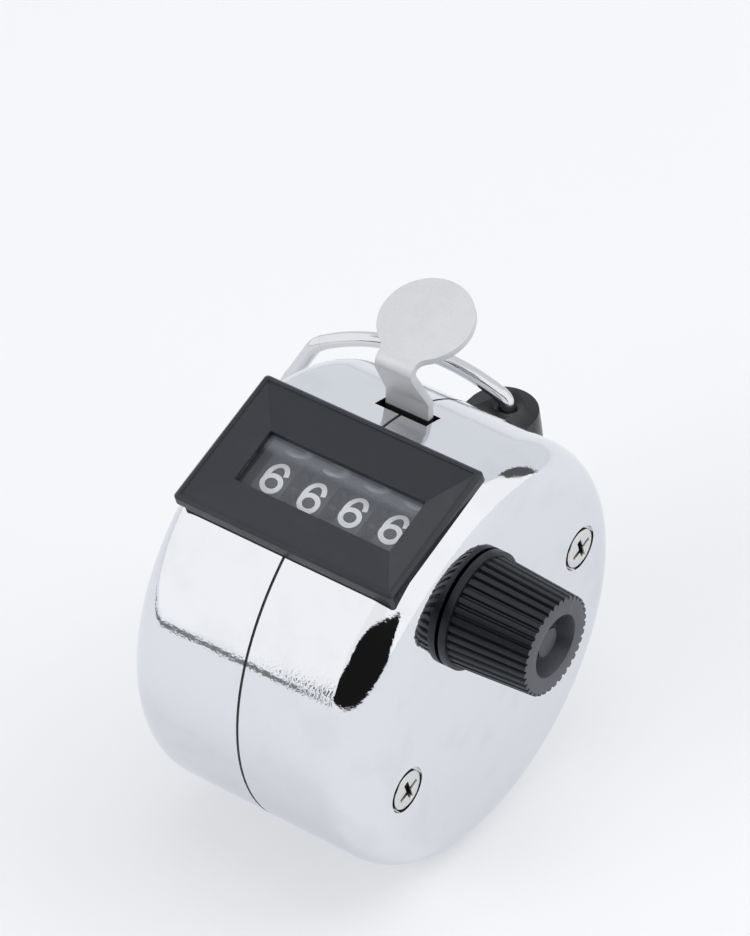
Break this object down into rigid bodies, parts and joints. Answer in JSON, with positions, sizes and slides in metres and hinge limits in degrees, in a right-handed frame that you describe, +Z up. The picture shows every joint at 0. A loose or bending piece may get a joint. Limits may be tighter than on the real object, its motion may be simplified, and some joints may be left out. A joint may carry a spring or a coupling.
{
  "type": "tally counter",
  "caption": "Chrome drum hand tally counter with number wheels behind a framed window, a sprung thumb lever, a ribbed reset knob and a swinging finger ring.",
  "frame": {"origin": "on the surface that the counter stands on, under the middle of the drum, on the joint line of its two shells", "axes": "+X along the drum's axis to the end with the reset knob, -Y to the front with the window, +Z up to the thumb lever"},
  "size_m": [0.0504, 0.0494, 0.0554],
  "materials": {
    "chrome_shell": "bright chrome plate",
    "black_frame": "satin moulded black",
    "clear_lens": "clear moulded",
    "frame_steel": "plain stamped",
    "screw_steel": "nickel plate",
    "bush_brass": "turned",
    "spring_steel": "spring temper",
    "black_lug": "moulded black",
    "knob_plastic": "moulded black, ribbed",
    "wheel_plastic": "dark grey, white digits",
    "pinion_plastic": "natural",
    "lever_steel": "satin plate",
    "ring_wire": "bright drawn wire"
  },
  "bodies": {
    "case": {"left_shell": "chrome_shell", "right_shell": "chrome_shell", "window_frame": "black_frame", "window_lens": "clear_lens", "left_plate": "frame_steel", "right_plate": "frame_steel", "case_posts": "frame_steel", "left_screws": "screw_steel", "right_screws": "screw_steel", "left_bush": "bush_brass", "right_bush": "bush_brass", "pinion_rod": "frame_steel", "lever_guide": "frame_steel", "guide_studs": "frame_steel", "spring_bridge": "frame_steel", "detent_block": "frame_steel", "detent_spring": "spring_steel", "ring_lug": "black_lug", "return_spring": "spring_steel"},
    "knob": {"wheel_shaft": "frame_steel", "shaft_clip": "spring_steel", "reset_knob": "knob_plastic"},
    "thousands": {"thousands_wheel": "wheel_plastic"},
    "hundreds": {"hundreds_wheel": "wheel_plastic"},
    "tens": {"tens_wheel": "wheel_plastic"},
    "units": {"units_wheel": "wheel_plastic", "units_ratchet": "bush_brass"},
    "thousands_carry": {"thousands_pinion": "pinion_plastic"},
    "hundreds_carry": {"hundreds_pinion": "pinion_plastic"},
    "tens_carry": {"tens_pinion": "pinion_plastic"},
    "lever": {"thumb_lever": "lever_steel", "drive_pawl": "spring_steel", "pawl_rivets": "lever_steel"},
    "ring": {"finger_ring": "ring_wire"}
  },
  "joints": [
    {"name": "lever_press", "type": "slide", "parent": "case", "child": "lever", "axis": [0, 0, -1], "range_m": [0, 0.0034], "stiffness_N_per_m": 300, "springref_m": -0.0008, "deforming": ["return_spring"]},
    {"name": "knob_turn", "type": "hinge", "parent": "case", "child": "knob", "pos_m": [0, -0.00392, 0.03304], "axis": [1, 0, 0], "continuous": true},
    {"name": "thousands_turn", "type": "hinge", "parent": "case", "child": "thousands", "pos_m": [0, -0.00392, 0.03304], "axis": [1, 0, 0], "continuous": true},
    {"name": "hundreds_turn", "type": "hinge", "parent": "case", "child": "hundreds", "pos_m": [0, -0.00392, 0.03304], "axis": [1, 0, 0], "continuous": true},
    {"name": "tens_turn", "type": "hinge", "parent": "case", "child": "tens", "pos_m": [0, -0.00392, 0.03304], "axis": [1, 0, 0], "continuous": true},
    {"name": "units_turn", "type": "hinge", "parent": "case", "child": "units", "pos_m": [0, -0.00392, 0.03304], "axis": [1, 0, 0], "continuous": true},
    {"name": "thousands_pinion_turn", "type": "hinge", "parent": "case", "child": "thousands_carry", "pos_m": [0, -0.00082, 0.02424], "axis": [1, 0, 0], "continuous": true},
    {"name": "hundreds_pinion_turn", "type": "hinge", "parent": "case", "child": "hundreds_carry", "pos_m": [0, -0.00082, 0.02424], "axis": [1, 0, 0], "continuous": true},
    {"name": "tens_pinion_turn", "type": "hinge", "parent": "case", "child": "tens_carry", "pos_m": [0, -0.00082, 0.02424], "axis": [1, 0, 0], "continuous": true},
    {"name": "ring_swing", "type": "hinge", "parent": "case", "child": "ring", "pos_m": [0, 0.0228, 0.0225], "axis": [0, 0, 1], "range_deg": [-212, 12]}
  ],
  "couplings": [
    {"joint": "thousands_pinion_turn", "follows": "thousands_turn", "ratio": -2.5},
    {"joint": "hundreds_pinion_turn", "follows": "hundreds_turn", "ratio": -2.5},
    {"joint": "tens_pinion_turn", "follows": "tens_turn", "ratio": -2.5}
  ]
}
